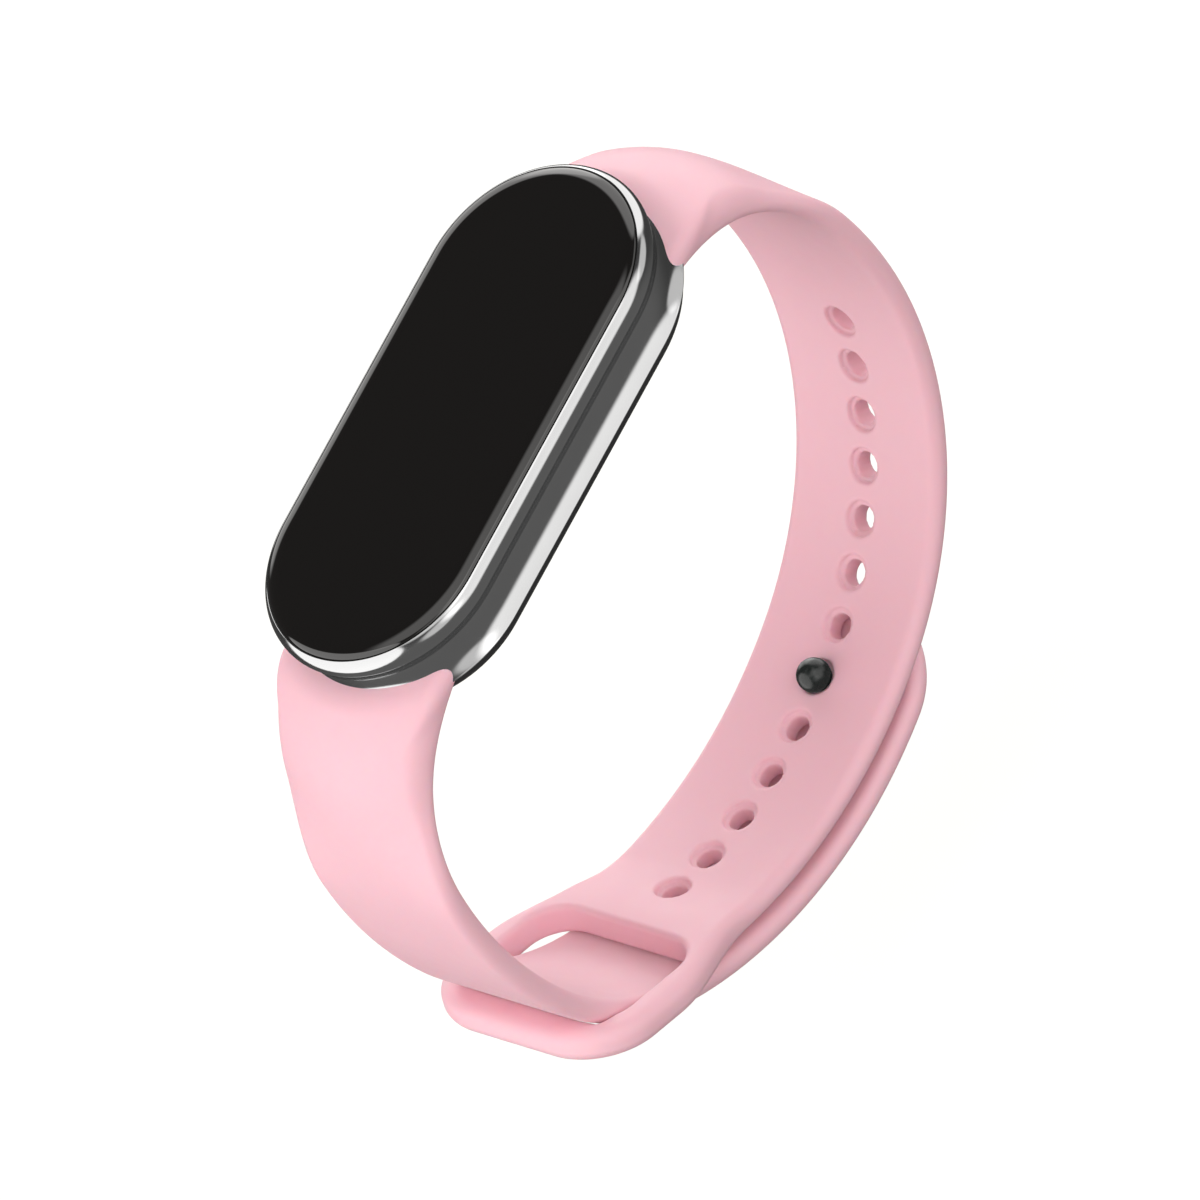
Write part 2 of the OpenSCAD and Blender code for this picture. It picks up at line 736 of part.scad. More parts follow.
module peg_strap_tail() {
    root = along(peg_start, peg_heading, base_arcs, base_length);
    path = chain(root, root[2], tail_arcs);
    t = strap_t / 2;
    at_tracker() mirror([0, 1, 0]) color("#f5c3cc") difference() {
        union() {
            across(strap_w) polygon(concat(beside(path, t), reversed(beside(path, -t))));
            // Round root, half a turn about the bending line.
            on_peg_half(base_length) rotate([0, 90, 0]) rotate([0, 0, 180])
                rotate_extrude(angle = 180) translate([0, -strap_w / 2]) square([t, strap_w]);
        }
        // Round tip about the peg.
        on_peg_half(peg_at) difference() {
            translate([-strap_w, 0, -4]) cube([2 * strap_w, 2 * tip_r, 8]);
            translate([0, 0, -5]) cylinder(r = tip_r, h = 10);
        }
        // Hole of the peg, and the recess of its cap.
        on_peg_half(peg_at) {
            translate([0, 0, -4]) cylinder(r = shank_r, h = 8);
            translate([0, 0, t - 0.3]) cylinder(r = cap_r + 0.05, h = 2);
        }
    }
}

// Depth of the hole's wrist face below the middle of the tail, where the peg stands.
peg_reach = let (
    hole = along(buckle_start, buckle_heading, buckle_arcs, peg_hole_at),
    tail = along(peg_start, peg_heading, concat(base_arcs, tail_arcs), peg_at)
)
norm([hole[0] + tail[0], hole[1] - tail[1]]) + strap_t / 2;

module peg() {
    at_tracker() mirror([0, 1, 0]) color("#16211d") on_peg_half(peg_at) {
        translate([0, 0, -peg_reach - 0.5]) sphere(r = head_r);
        translate([0, 0, -peg_reach - 0.5]) cylinder(r = shank_r, h = peg_reach + 0.5 + strap_t / 2 - 0.3);
    }
}

module peg_cap() {
    at_tracker() mirror([0, 1, 0]) color("#16211d") on_peg_half(peg_at)
        translate([0, 0, strap_t / 2 - 0.3]) cylinder(r = cap_r, h = 0.45);
}

cover_glass();
glass_gasket();
display_panel();
display_flex();
mid_frame();
inner_bracket();
bracket_screws();
main_board();
board_chips();
chip_shield();
antenna_strip();
battery();
battery_flex();
vibration_motor();
sensor_board();
sensor_leds();
photodiodes();
light_barrier();
sensor_window();
rear_gasket();
rear_cover();
charging_contacts();
strap_connector_upper();
strap_connector_lower();
release_button_upper();
release_button_lower();
button_spring_upper();
button_spring_lower();
buckle_strap();
peg_strap_base();
peg_strap_tail();
peg();
peg_cap();
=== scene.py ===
# Fitness tracker band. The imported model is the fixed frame; this script adds the detailed pieces,
# their materials, the light, the floor and the camera.
import itertools
import math

import bmesh
import bpy
import numpy as np
from mathutils import Matrix, Vector


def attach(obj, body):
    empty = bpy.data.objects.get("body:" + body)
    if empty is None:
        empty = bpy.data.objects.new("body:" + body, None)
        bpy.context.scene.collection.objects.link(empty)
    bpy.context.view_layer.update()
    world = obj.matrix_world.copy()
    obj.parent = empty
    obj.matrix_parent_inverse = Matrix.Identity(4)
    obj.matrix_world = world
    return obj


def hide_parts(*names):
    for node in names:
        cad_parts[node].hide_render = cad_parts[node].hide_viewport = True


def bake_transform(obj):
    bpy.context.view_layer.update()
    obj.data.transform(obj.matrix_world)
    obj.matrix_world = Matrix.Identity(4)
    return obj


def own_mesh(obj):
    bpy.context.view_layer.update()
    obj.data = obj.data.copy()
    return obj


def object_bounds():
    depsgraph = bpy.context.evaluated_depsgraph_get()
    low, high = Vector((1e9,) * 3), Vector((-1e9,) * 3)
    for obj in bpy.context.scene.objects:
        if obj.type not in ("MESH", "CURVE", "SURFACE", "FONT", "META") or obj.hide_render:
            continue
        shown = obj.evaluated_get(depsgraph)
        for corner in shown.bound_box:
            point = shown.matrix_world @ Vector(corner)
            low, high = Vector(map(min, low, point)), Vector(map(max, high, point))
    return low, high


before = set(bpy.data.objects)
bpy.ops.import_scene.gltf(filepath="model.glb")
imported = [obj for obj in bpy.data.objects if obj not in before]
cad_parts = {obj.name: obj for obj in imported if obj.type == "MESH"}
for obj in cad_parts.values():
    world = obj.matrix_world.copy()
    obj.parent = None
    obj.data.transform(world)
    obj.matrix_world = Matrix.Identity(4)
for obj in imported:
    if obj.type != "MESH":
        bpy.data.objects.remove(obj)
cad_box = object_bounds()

# Lengths are in millimetres, with Z counted from the seam between glass and metal. MM turns them
# into metres, and SEAM is the seam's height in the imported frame. Y runs along the tracker.
MM = 0.001
SEAM = 32.5

# The tracker: a capsule whose end circles have their centres at plus and minus END_Y.
END_Y = 12.75
SEAM_R = 10.35
FRAME_H = 6.15

# The strap, and the softness of its plain edges on the wrist side and on the outside.
STRAP_T = 2.1
STRAP_HALF = 8.0
WRIST_EDGE = 0.95
OUTER_EDGE = 1.1

# A value that keeps a field out of the way where it has no part in the shape.
FAR = -9.0


# ---- Small helpers ----


def ease(u):
    """Rises from 0 to 1 with a slow start and a slow stop."""
    v = np.clip(u, 0.0, 1.0)
    return v * v * (3.0 - 2.0 * v)


def meet(radius, *fields):
    """The space that is inside every field, with its edges rounded to a radius."""
    highest = fields[0]
    for f in fields[1:]:
        highest = np.maximum(highest, f)
    lifted = sum(np.maximum(f + radius, 0.0) ** 2 for f in fields)
    return np.sqrt(lifted) + np.minimum(highest + radius, 0.0) - radius


def mesh_object(name, points, faces, crease=None, lift=SEAM):
    """A smooth mesh from points in millimetres. Edges sharper than crease degrees stay sharp."""
    points = np.asarray(points, float).copy()
    points[:, 2] += lift
    mesh = bpy.data.meshes.new(name)
    mesh.from_pydata((points * MM).tolist(), [], [tuple(map(int, f)) for f in faces])
    mesh.validate()
    mesh.shade_smooth()
    if crease is not None:
        mesh.set_sharp_from_angle(angle=math.radians(crease))
    obj = bpy.data.objects.new(name, mesh)
    bpy.context.scene.collection.objects.link(obj)
    return obj


# ---- The lines that the strap halves follow ----


class Path:
    """A chain of arcs that turn right, in the YZ plane, with a straight run after the last."""

    def __init__(self, start, heading, arcs):
        self.arcs = []
        p = start
        s = 0.0
        for radius, sweep in arcs:
            a = math.radians(heading)
            centre = (p[0] + radius * math.sin(a), p[1] - radius * math.cos(a))
            length = radius * math.radians(sweep)
            self.arcs.append((centre, radius, a, s, length))
            heading -= sweep
            a = math.radians(heading)
            p = (centre[0] - radius * math.sin(a), centre[1] + radius * math.cos(a))
            s += length
        self.length = s
        self.end = p
        self.heading = heading

    def point(self, s):
        """Position and heading in radians at a distance along."""
        for centre, radius, a, s0, length in self.arcs:
            if s <= s0 + length:
                b = a - (s - s0) / radius
                return centre[0] - radius * math.sin(b), centre[1] + radius * math.cos(b), b
        b = math.radians(self.heading)
        far = s - self.length
        return self.end[0] + far * math.cos(b), self.end[1] + far * math.sin(b), b

    def measure(self, y, z):
        """Distance along the path and distance outwards from it, for many points."""
        b = math.radians(self.heading)
        ahead = (y - self.end[0]) * math.cos(b) + (z - self.end[1]) * math.sin(b)
        out = (z - self.end[1]) * math.cos(b) - (y - self.end[0]) * math.sin(b)
        best = np.hypot(np.minimum(ahead, 0.0), out)
        along = self.length + np.maximum(ahead, 0.0)
        for k, (centre, radius, a, s0, length) in enumerate(self.arcs):
            v = y - centre[0]
            w = z - centre[1]
            turn = a + math.pi / 2 - np.arctan2(w, v)
            turn = (turn + math.pi) % (2 * math.pi) - math.pi
            s = radius * turn
            if k > 0:
                kept = np.clip(s, 0.0, length)
            else:
                kept = np.minimum(s, length)
            off = np.hypot(v, w) - radius
            miss = np.hypot(off, s - kept)
            take = miss < best
            best = np.where(take, miss, best)
            along = np.where(take, s0 + kept, along)
            out = np.where(take, off, out)
        return along, out


def arc_to(p, q, heading):
    """Centre and radius of the right-turning arc from p that reaches q with a heading."""
    aim = math.degrees(math.atan2(q[1] - p[1], q[0] - p[0]))
    radius = math.dist(p, q) / (2 * math.sin(math.radians(aim - heading)))
    a = math.radians(heading)
    return (q[0] + radius * math.sin(a), q[1] - radius * math.cos(a)), radius


# ---- The thick end of a strap half, beside the tracker ----

# It reaches this far along the path. Beyond that the half has its plain section.
LUG_REACH = 20.0

# Its outline: a top that falls a little towards the sides, round upper corners, and sides that
# flare upwards over FLARE_H.
LUG_TOP = -4.5
LUG_FALL = 0.3
LUG_CORNER = 1.6
LUG_HALF = 9.3
FLARE_H = 7.35

# Where its outer face starts, counted from the end circle's centre, and where its wrist face does.
CREST_R = 11.1
CREST_Z = -4.15
UNDER_START = (20.5, -6.9)

# How far the outer face follows the roundness of the tracker's end.
CAMBER_LENGTH = 11.0

# Its outer edge is tight at the top and turns soft below it. The plain edges take over lower down.
TIGHT_EDGE = 0.4
SOFT_EDGE = 1.9
SOFT_Z = -4.6
SOFT_OVER = 2.5
PLAIN_Z = -4.8
PLAIN_OVER = 9.0

# The room that it leaves for the tracker, up to a distance along the path.
ROOM_R = 10.05
ROOM_REACH = 12.0


class Strap:
    """One strap half: its path, and the arcs of its thick end."""

    def __init__(self, start, heading, arcs, under_heading):
        self.path = Path(start, heading, arcs)
        t = STRAP_T / 2
        a = math.radians(heading)
        top = (start[0] - t * math.sin(a) - END_Y, start[1] + t * math.cos(a))
        self.top_arc = arc_to((CREST_R, CREST_Z), top, heading)
        self.under_from = arcs[0][0] * math.radians(heading - under_heading)
        y, z, b = self.path.point(self.under_from)
        join = (y + t * math.sin(b), z - t * math.cos(b))
        self.under_arc = arc_to(UNDER_START, join, under_heading)

    def outer(self, r, z, s, n):
        """Height over the outer face, where r counts from the end circle's centre."""
        (cr, cz), radius = self.top_arc
        return np.where(s < 0.0, np.hypot(r - cr, z - cz) - radius, n - STRAP_T / 2)

    def body(self, x, y, z, half, under, edge):
        """The half's field, with the distances along and out from its path.

        half is the outline's field, under the depth of the wrist face and edge its softness."""
        s, n = self.path.measure(y, z)
        lug = s < LUG_REACH
        r = np.hypot(x, np.maximum(y - END_Y, 0.0))
        flat = self.outer(y - END_Y, z, s, n)
        sr, nr = self.path.measure(END_Y + r, z)
        turned = self.outer(r, z, sr, nr)
        camber = 1.0 - ease(s / CAMBER_LENGTH)
        top = flat + (turned - flat) * camber
        (cy, cz), radius = self.under_arc
        bottom = np.where(s < self.under_from, radius - np.hypot(y - cy, z - cz), -n - under(s))

        flare = (LUG_HALF - STRAP_HALF) * (1.0 - np.clip((CREST_Z - z) / FLARE_H, 0.0, 1.0)) ** 2
        side = half(x, s) - np.where(lug, flare, 0.0)
        lid = z - LUG_TOP + LUG_FALL * (x / LUG_HALF) ** 2
        outline = meet(LUG_CORNER, side, np.where(lug, lid, FAR))

        plain = np.where(lug, ease((PLAIN_Z - z) / PLAIN_OVER), 1.0)
        soft = ease((SOFT_Z - z) / SOFT_OVER)
        outer_edge = TIGHT_EDGE + (SOFT_EDGE - TIGHT_EDGE) * soft - (SOFT_EDGE - OUTER_EDGE) * plain * soft
        outer_edge = np.where(lug, outer_edge, OUTER_EDGE)
        solid = meet(outer_edge, outline, top)
        solid = meet(TIGHT_EDGE + (edge(s) - TIGHT_EDGE) * plain, solid, bottom)
        room = np.where(s < ROOM_REACH, ROOM_R - r, FAR)
        return np.maximum(solid, room), s, n


# Start, heading, arcs as (radius, sweep in degrees), and the heading where the wrist face joins.
buckle = Strap((29.6, -10.9), -68.9, [(35.1, 29.2), (30.6, 68.3), (39.8, 41.2)], -84)
peg_half = Strap((29.9, -11.3), -63.9, [(38.9, 38.1), (23.7, 41.5), (37.9, 45.3), (31.7, 18.4)], -78)


# ---- The buckle half ----

# The holes, each with a soft lip and a recess, and the area round one that it can change. The peg
# sits in hole number PEG_HOLE, counted from 0 at the tracker, which lies PEG_HOLE_AT along the half.
HOLES = 13
HOLE_PITCH = 4.6
HOLE_R = 1.1
HOLE_LIP = 0.16
HOLE_AREA = 3.0
RECESS_R = 1.5
RECESS_D = 0.4
PEG_HOLE = 7
PEG_HOLE_AT = 57.55

# The loop, with lengths counted from the end of the last arc. LOOP_TAPER turns the distance across
# the widening sides into a distance square to them.
LOOP_END = 18.4
LOOP_HALF = 10.9
LOOP_CORNER = 6.0
LOOP_TAPER = 0.93
LOOP_IN = 1.7
LOOP_EDGE = 1.2

# Its slot, and where its lip can start.
SLOT = (3.4, 15.4)
SLOT_FROM = -4.0
SLOT_HALF = 8.4
SLOT_CORNER = 3.2
SLOT_LIP = 0.55

# The dent that the other half makes in the loop's end bar, with a gap between them.
PASSING_FROM = 2.0
PASSING_GAP = 0.08
PASSING_EDGE = 0.3

# Where the plain outline hands over to the loop's, and the stretches over which the half grows
# wider, thicker and softer, each as a start and a length.
LOOP_FROM = -8.0
WIDER = (-2.5, 11.5)
THICKER = (-5.0, 7.0)
SOFTER = (0.0, 3.0)

hole_at = [PEG_HOLE_AT + (i - PEG_HOLE) * HOLE_PITCH for i in range(HOLES)]
hole_place = np.array([buckle.path.point(s) for s in hole_at])


def grown(s, stretch):
    """How far a change over a stretch of the loop has come, from 0 to 1."""
    start, length = stretch
    return ease((s - buckle.path.length - start) / length)


def buckle_side(x, s):
    """How far a point lies outside the outline of the buckle half and its loop."""
    t = s - buckle.path.length
    half = STRAP_HALF + (LOOP_HALF - STRAP_HALF) * grown(s, WIDER)
    side = (np.abs(x) - half) * LOOP_TAPER
    return np.where(t < LOOP_FROM, np.abs(x) - STRAP_HALF, meet(LOOP_CORNER, side, t - LOOP_END))


def slot_side(x, s):
    """How far a point lies outside the loop's slot."""
    t = s - buckle.path.length
    middle = (SLOT[0] + SLOT[1]) / 2
    across = np.abs(x) - SLOT_HALF + SLOT_CORNER
    lengthwise = np.abs(t - middle) - (SLOT[1] - SLOT[0]) / 2 + SLOT_CORNER
    slot = np.hypot(np.maximum(across, 0.0), np.maximum(lengthwise, 0.0))
    return slot + np.minimum(np.maximum(across, lengthwise), 0.0) - SLOT_CORNER


def buckle_under(s):
    """Depth of the wrist face below the path: the loop is thicker than the strap."""
    return STRAP_T / 2 + (LOOP_IN - STRAP_T / 2) * grown(s, THICKER)


def buckle_edge(s):
    """Softness of the wrist edges, which is greater round the loop."""
    return WRIST_EDGE + (LOOP_EDGE - WRIST_EDGE) * grown(s, SOFTER)


def buckle_field(x, y, z):
    """Negative inside the buckle half."""
    solid, s, _ = buckle.body(x, y, z, buckle_side, buckle_under, buckle_edge)
    # The slot, with a small round lip.
    t = s - buckle.path.length
    solid = np.where(t > SLOT_FROM, meet(SLOT_LIP, solid, -slot_side(x, s)), solid)
    # The loop's end bar is pressed flat where the other half passes it.
    _, out = peg_half.path.measure(-y, z)
    other = meet(WRIST_EDGE, np.abs(x) - STRAP_HALF, np.abs(out) - STRAP_T / 2) - PASSING_GAP
    solid = np.where(t > PASSING_FROM, meet(PASSING_EDGE, solid, -other), solid)
    # Adjustment holes, each with a shallow round recess on the wrist side.
    k = np.clip(np.rint((s - hole_at[0]) / HOLE_PITCH), 0, HOLES - 1).astype(int)
    py, pz, heading = hole_place[k].T
    u = (y - py) * np.cos(heading) + (z - pz) * np.sin(heading)
    m = (z - pz) * np.cos(heading) - (y - py) * np.sin(heading)
    rho = np.hypot(x, u)
    recess = np.minimum(RECESS_R - rho, -STRAP_T / 2 + RECESS_D - m)
    hole = np.maximum(HOLE_R - rho, recess)
    near = (np.abs(x) < HOLE_AREA) & (rho < HOLE_AREA)
    return np.where(near, meet(HOLE_LIP, solid, hole), solid)


# ---- The peg half ----

# The peg stands at PEG_AT along the half, and its cap lies in a round seat on the outer face.
PEG_AT = 74.57
SEAT_R = 2.38
SEAT_D = 0.3
SEAT_LIP = 0.12
SEAT_AREA = 4.0

# The tail lifts about a hinge, and BEND_HALF on each side of it marks the stretch of band round the hinge.
HINGE_AT = 50.71
BEND_HALF = 5.0


def peg_side(x, s):
    """The outline of the peg half, whose tip is a half circle about the peg."""
    past = np.maximum(s - PEG_AT, 0.0)
    return np.hypot(past, x) - STRAP_HALF


def peg_under(s):
    """Depth of the wrist face below the path, the same all along."""
    return STRAP_T / 2


def peg_edge(s):
    """Softness of the wrist edges, the same all along."""
    return WRIST_EDGE


def peg_field(x, y, z):
    """Negative inside the peg half, which lies mirrored in Y, with a seat for the peg's cap."""
    solid, s, n = peg_half.body(x, -y, z, peg_side, peg_under, peg_edge)
    rho = np.hypot(x, s - PEG_AT)
    seat = np.minimum(SEAT_R - rho, n - STRAP_T / 2 + SEAT_D)
    near = (rho < SEAT_AREA) & (n > -STRAP_T / 4)
    return np.where(near, meet(SEAT_LIP, solid, seat), solid)


def on_peg_half(s):
    """A point of the peg half's path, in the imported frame, in metres."""
    y, z, _ = peg_half.path.point(s)
    return Vector((0.0, -y * MM, (z + SEAM) * MM))


# ---- From a field to a mesh ----

# Half the diagonal of a unit cube, and what rounded edges add to a field's error, in millimetres.
HALF_DIAGONAL = 0.87
FIELD_ERROR = 0.45

# The least square of a slope that a point is moved by, where a field is nearly flat.
LEAST_SLOPE = 0.05
CUBE_CORNERS = list(itertools.product((0, 1), repeat=3))


def slope(field, p, h=0.02):
    """Gradient of a field at many points."""
    g = np.empty_like(p)
    for axis in range(3):
        step = np.zeros(3)
        step[axis] = h
        a = p + step
        b = p - step
        g[:, axis] = (field(*a.T) - field(*b.T)) / (2 * h)
    return g


def settle(field, p, cell, rounds=2):
    """Moves points onto the field's zero level, by half a cell at most in each round."""
    for _ in range(rounds):
        g = slope(field, p)
        size = np.maximum((g * g).sum(axis=1), LEAST_SLOPE)
        step = (field(*p.T) / size)[:, None] * g
        length = np.linalg.norm(step, axis=1, keepdims=True)
        p = p - step * np.minimum(1.0, 0.5 * cell / np.maximum(length, 1e-9))
    return p


def part_of(grid, corner, shape):
    """The view of a grid of corners that holds one corner of each cell."""
    i, j, k = corner
    return grid[i : i + shape[0], j : j + shape[1], k : k + shape[2]]


def cells_near(field, low, high, cell, block):
    """A grid that is true in the blocks of cells that the surface may pass."""
    blocks = np.ceil((high - low) / (cell * block)).astype(int)
    middles = [low[i] + (np.arange(blocks[i]) + 0.5) * block * cell for i in range(3)]
    grid = np.meshgrid(*middles, indexing="ij")
    value = field(*[g.ravel() for g in grid]).reshape(grid[0].shape)
    near = np.abs(value) < block * cell * HALF_DIAGONAL + FIELD_ERROR
    return near.repeat(block, 0).repeat(block, 1).repeat(block, 2)


def crossings(value, at):
    """The mean of the surface's crossings with the edges of each cell, in cells."""
    total = np.zeros((len(at), 3))
    hits = np.zeros(len(at))
    for a, b in itertools.combinations(CUBE_CORNERS, 2):
        a = np.array(a)
        b = np.array(b)
        if np.abs(a - b).sum() != 1:
            continue
        va = value[tuple((at + a).T)]
        vb = value[tuple((at + b).T)]
        cross = (va < 0.0) != (vb < 0.0)
        share = np.where(cross, va / np.where(cross, va - vb, 1.0), 0.0)[:, None]
        total += np.where(cross[:, None], a + (b - a) * share, 0.0)
        hits += cross
    return at + total / hits[:, None]


def quads_between(inside, number, shape):
    """One quad round each grid edge that the surface crosses, facing outwards."""
    quads = []
    for axis in range(3):
        u = (axis + 1) % 3
        v = (axis + 2) % 3
        first = inside.take(range(inside.shape[axis] - 1), axis)
        second = inside.take(range(1, inside.shape[axis]), axis)
        edge = np.stack(np.nonzero(first != second), axis=1)
        ok = (edge[:, u] > 0) & (edge[:, v] > 0)
        ok &= (edge[:, u] < shape[u]) & (edge[:, v] < shape[v])
        edge = edge[ok]
        ring = []
        for du, dv in ((1, 1), (0, 1), (0, 0), (1, 0)):
            c = edge.copy()
            c[:, u] -= du
            c[:, v] -= dv
            ring.append(number[tuple(c.T)])
        ring = np.stack(ring, axis=1)
        outward = first[tuple(edge.T)]
        ring = np.where(outward[:, None], ring, ring[:, ::-1])
        quads.append(ring[(ring >= 0).all(axis=1)])
    return np.concatenate(quads)


def evened(points, quads):
    """Points moved half way to the mean of their neighbours."""
    around = np.zeros_like(points)
    links = np.zeros(len(points))
    for a, b in ((0, 1), (1, 2), (2, 3), (3, 0)):
        np.add.at(around, quads[:, a], points[quads[:, b]])
        np.add.at(around, quads[:, b], points[quads[:, a]])
        np.add.at(links, quads[:, a], 1)
        np.add.at(links, quads[:, b], 1)
    return points * 0.5 + 0.5 * around / links[:, None]


def skin(name, field, low, high, cell, block=4):
    """A closed mesh of quads on a field's zero level, of about the cell's size."""
    low = np.array(low, float)
    cells = cells_near(field, low, np.array(high, float), cell, block)
    nodes = np.zeros(np.array(cells.shape) + 1, bool)
    for corner in CUBE_CORNERS:
        part_of(nodes, corner, cells.shape)[...] |= cells
    where = np.nonzero(nodes)
    value = np.full(nodes.shape, -FAR)
    value[where] = field(*[low[a] + cell * where[a] for a in range(3)])
    inside = value < 0.0

    count = np.zeros(cells.shape, np.int8)
    for corner in CUBE_CORNERS:
        count += part_of(inside, corner, cells.shape)
    active = (count > 0) & (count < len(CUBE_CORNERS)) & cells
    at = np.stack(np.nonzero(active), axis=1)
    number = np.full(cells.shape, -1)
    number[active] = np.arange(len(at))

    quads = quads_between(inside, number, cells.shape)
    points = settle(field, low + cell * crossings(value, at), cell)
    for _ in range(2):
        points = settle(field, evened(points, quads), cell)
    return mesh_object(name, points, quads)


# ---- Strap halves ----

# The corners given are those of a box that holds the half with room to spare.
cell = 0.2
buckle_mesh = skin(
    "buckle_strap_silicone", buckle_field, (-12.6, -36.6, -60.2), (12.6, 35.6, -2.6), cell
)
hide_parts("buckle_strap")
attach(buckle_mesh, "tracker")

peg_mesh = skin("peg_strap_silicone", peg_field, (-10.0, -36.4, -60.4), (10.0, 15.2, -2.6), cell)
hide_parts("peg_strap_base", "peg_strap_tail")
bend_from = on_peg_half(HINGE_AT - BEND_HALF)
bend_to = on_peg_half(HINGE_AT + BEND_HALF)
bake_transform(peg_mesh)


# ---- Swept pieces: glass, gasket and metal frame ----

# Where the straight sides are cut, as shares of their length, so that the shading stays true there.
SIDE_CUTS = (0.03, 0.3, 0.5, 0.7, 0.97)


def arc(centre, radius, start, end, steps):
    """Points (r, z) on an arc, with its angles in degrees."""
    angles = np.radians(np.linspace(start, end, steps + 1))
    return [(centre[0] + radius * math.cos(a), centre[1] + radius * math.sin(a)) for a in angles]


def stadium(name, profile, closed=True, cap=False, crease=28, turns=72):
    """Sweeps a profile of (r, z) round the capsule. cap fills it at the profile's first point."""
    rim = []
    for k in range(turns + 1):
        rim.append((math.pi * k / turns, END_Y))
    for k in range(turns + 1):
        rim.append((math.pi + math.pi * k / turns, -END_Y))
    plan = []
    for i, (a, y) in enumerate(rim):
        plan.append((math.cos(a), math.sin(a), y))
        if i in (turns, 2 * turns + 1):
            for u in SIDE_CUTS:
                plan.append((math.cos(a), math.sin(a), y - 2 * y * u))
    points = []
    for cx, cy, y in plan:
        for r, z in profile:
            points.append((r * cx, y + r * cy, z))
    m = len(profile)
    n = len(plan)
    faces = []
    spans = m if closed else m - 1
    for i in range(n):
        for j in range(spans):
            a = i * m + j
            b = i * m + (j + 1) % m
            c = ((i + 1) % n) * m + (j + 1) % m
            d = ((i + 1) % n) * m + j
            faces.append((a, b, c, d))
    if cap:
        faces.append(tuple(i * m for i in range(n)))
    obj = mesh_object(name, points, faces, crease=crease)
    bm = bmesh.new()
    bm.from_mesh(obj.data)
    bmesh.ops.recalc_face_normals(bm, faces=bm.faces)
    bm.to_mesh(obj.data)
    bm.free()
    return obj


# Cover glass: a flat top that rolls over into the seam.
GLASS_R = SEAM_R - 0.12
GLASS_BOTTOM = -0.72
ROLL_FROM = 8.75
ROLL_Z = -0.12
ROLL_H = 0.62
roll = []
for a in np.radians(np.linspace(0, 90, 25)):
    roll.append((ROLL_FROM + (GLASS_R - ROLL_FROM) * math.sin(a), ROLL_Z + ROLL_H * math.cos(a)))
glass = stadium("cover_glass_pane", roll + [(GLASS_R, GLASS_BOTTOM)], closed=False, cap=True)
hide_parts("cover_glass")
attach(glass, "tracker")

# Gasket: the black line between glass and metal, sunk a little and overlapping both.
OVERLAP = 0.02
GASKET_BOTTOM = -0.7
gasket_profile = [
    (GLASS_R - OVERLAP, GASKET_BOTTOM),
    (GLASS_R - OVERLAP, -0.10),
    (SEAM_R + OVERLAP, -0.06),
    (SEAM_R + OVERLAP, GASKET_BOTTOM),
]
seam = stadium("seam_gasket", gasket_profile)
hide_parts("glass_gasket")
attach(seam, "tracker")

# Metal frame: a round rim, a crease, a hollow waist that starts along the rim's tangent at
# WAIST_TURN below the horizontal, and a flared skirt that ends in a small lip.
SHELL_IN = 9.6
SHELL_LEDGE = -0.6
RIM_CENTRE = (9.45, -1.2)
RIM_R = 1.5
RIM_FROM = 52.5
WAIST_TURN = 30.39
WAIST_R = 3.45
WAIST_END = 221.7
LIP_CENTRE = (11.03, -6.03)
LIP_R = 0.12
reach = RIM_R + WAIST_R
waist_centre = (
    RIM_CENTRE[0] + reach * math.cos(math.radians(WAIST_TURN)),
    RIM_CENTRE[1] - reach * math.sin(math.radians(WAIST_TURN)),
)
shell_profile = [
    (SHELL_IN, -FRAME_H),
    (SHELL_IN, SHELL_LEDGE),
    (SEAM_R - OVERLAP, SHELL_LEDGE),
    (SEAM_R - OVERLAP, -0.03),
]
shell_profile += arc(RIM_CENTRE, RIM_R, RIM_FROM, -WAIST_TURN, 36)
shell_profile += arc(waist_centre, WAIST_R, 180 - WAIST_TURN, WAIST_END, 40)[1:]
shell_profile += arc(LIP_CENTRE, LIP_R, 10, -90, 6)
metal = stadium("frame_shell", shell_profile)
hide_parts("mid_frame")
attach(metal, "tracker")


# ---- The peg ----


def lathe(name, profile, turns=48):
    """Turns a profile of (r, z), from the axis to the axis, about Z. Stays at the origin."""
    points = [(0.0, 0.0, profile[0][1])]
    inner = profile[1:-1]
    for k in range(turns):
        a = 2 * math.pi * k / turns
        points += [(r * math.cos(a), r * math.sin(a), z) for r, z in inner]
    points.append((0.0, 0.0, profile[-1][1]))
    m = len(inner)
    last = len(points) - 1
    faces = []
    for k in range(turns):
        a = 1 + k * m
        b = 1 + ((k + 1) % turns) * m
        faces.append((0, b, a))
        faces.append((last, a + m - 1, b + m - 1))
        for j in range(m - 1):
            faces.append((a + j, b + j, b + j + 1, a + j + 1))
    return mesh_object(name, points, faces, crease=40, lift=0.0)


# A ball head on the wrist side, a shank, and a domed cap on the outside of the tail. Heights are
# counted from the tail's path, and wrist_z is the height of the buckle half's wrist face.
BALL_R = 1.45
BALL_UP = 0.5
SHANK_R = 0.95
SHANK_TOP = 0.7
CAP_R = 2.3
CAP_EDGE_R = 0.18
CAP_TOP = 1.22
hole_y, hole_z, _ = buckle.path.point(PEG_HOLE_AT)
peg_y, peg_z, peg_heading = peg_half.path.point(PEG_AT)
wrist_z = -math.dist((hole_y, hole_z), (-peg_y, peg_z)) - STRAP_T / 2
ball_z = wrist_z - BALL_UP
ball = [(0.0, ball_z - BALL_R)] + arc((0.0, ball_z), BALL_R, -80, 38, 22)
shank = [(SHANK_R + 0.05, wrist_z + 0.75), (SHANK_R, wrist_z + 1.2), (SHANK_R, SHANK_TOP)]
cap_edge = arc((CAP_R - CAP_EDGE_R, 0.95), CAP_EDGE_R, 0, 90, 5)
